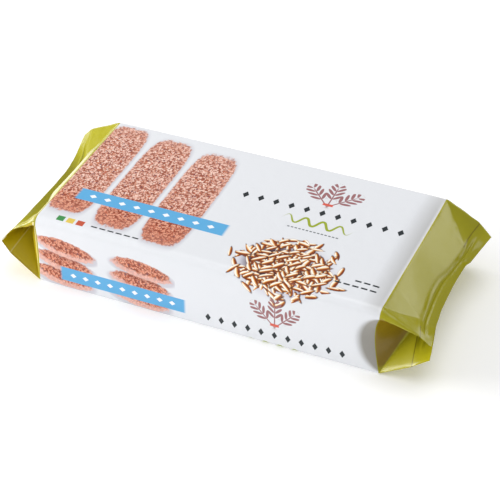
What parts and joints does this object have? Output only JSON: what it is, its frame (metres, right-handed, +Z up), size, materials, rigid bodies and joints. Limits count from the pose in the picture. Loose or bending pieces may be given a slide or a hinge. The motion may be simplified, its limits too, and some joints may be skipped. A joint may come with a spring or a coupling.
{
  "type": "flow-wrapped biscuit pack",
  "caption": "Shut pillow-shaped film pack of biscuits: a long boxy body with tucked, crimped fins at both ends and a back seam underneath.",
  "frame": {"origin": "middle of the underside: the centre of the box round the whole pack, at floor level", "axes": "+X along the pack's length to the end whose gussets stand open, +Y across to its back long side, +Z up out of the main printed face"},
  "size_m": [0.2564, 0.108, 0.0438],
  "materials": {
    "printed_film": "glossy printed polypropylene film, white with yellow-green ends"
  },
  "bodies": {
    "root": {"wrapper": "printed_film"}
  },
  "joints": []
}
